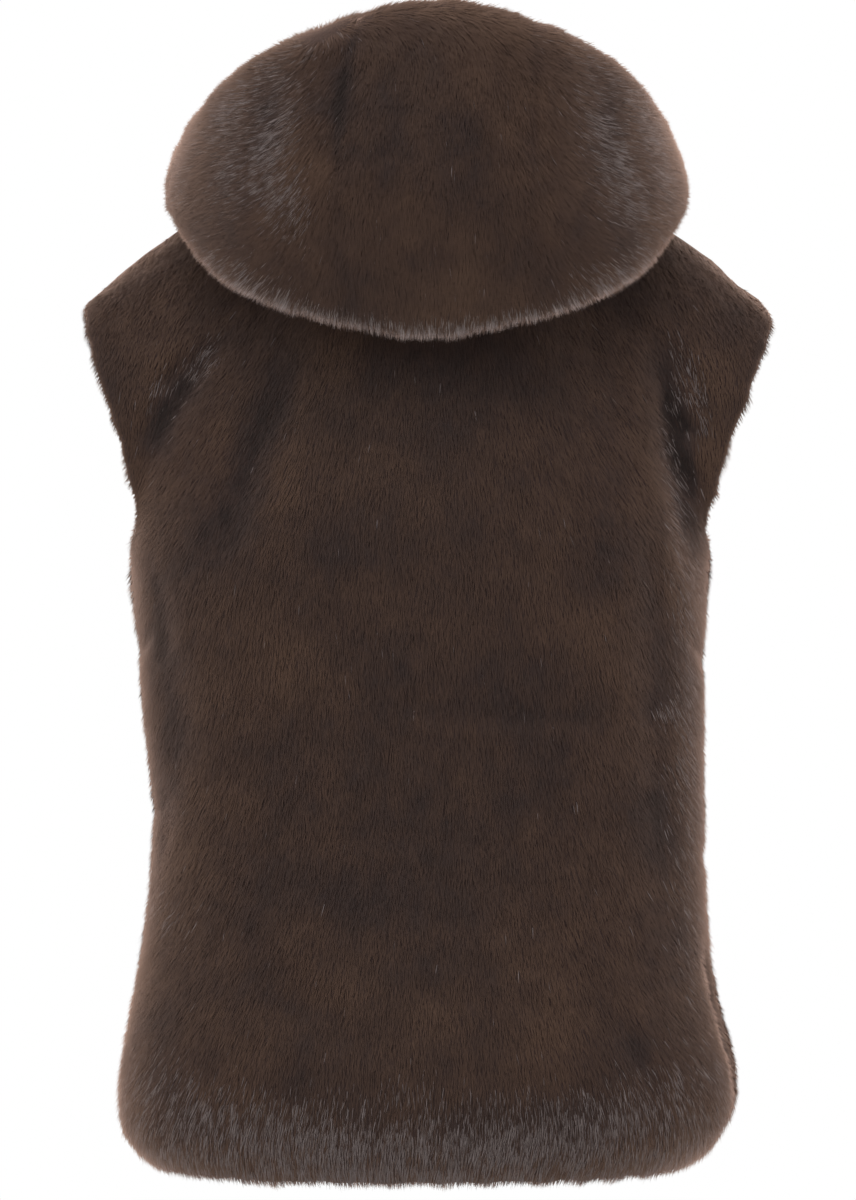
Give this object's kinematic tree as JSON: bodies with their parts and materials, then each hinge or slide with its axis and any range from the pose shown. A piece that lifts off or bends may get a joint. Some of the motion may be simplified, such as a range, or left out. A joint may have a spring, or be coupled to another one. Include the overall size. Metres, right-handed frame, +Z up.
{
  "type": "hooded faux fur vest, filled out with no wearer",
  "caption": "Sleeveless hooded vest in dense dark brown faux fur, hood worn down, open armholes and a plain open front.",
  "frame": {"origin": "middle of the neck at the height of the two neck points, where the wearer's shoulders hold the vest", "axes": "+Y the way the wearer faces, so the back faces -Y; +X the wearer's right; +Z up"},
  "size_m": [0.4928, 0.3444, 0.813],
  "materials": {
    "fur": "dense dark brown faux fur pile on a knit backing",
    "backing": "plain knit backing of the fur, the inner side of each panel"
  },
  "bodies": {
    "root": {"back": "fur", "front_left": "fur", "front_right": "fur", "hood_left": "fur", "hood_centre": "fur", "hood_right": "fur"}
  },
  "joints": []
}
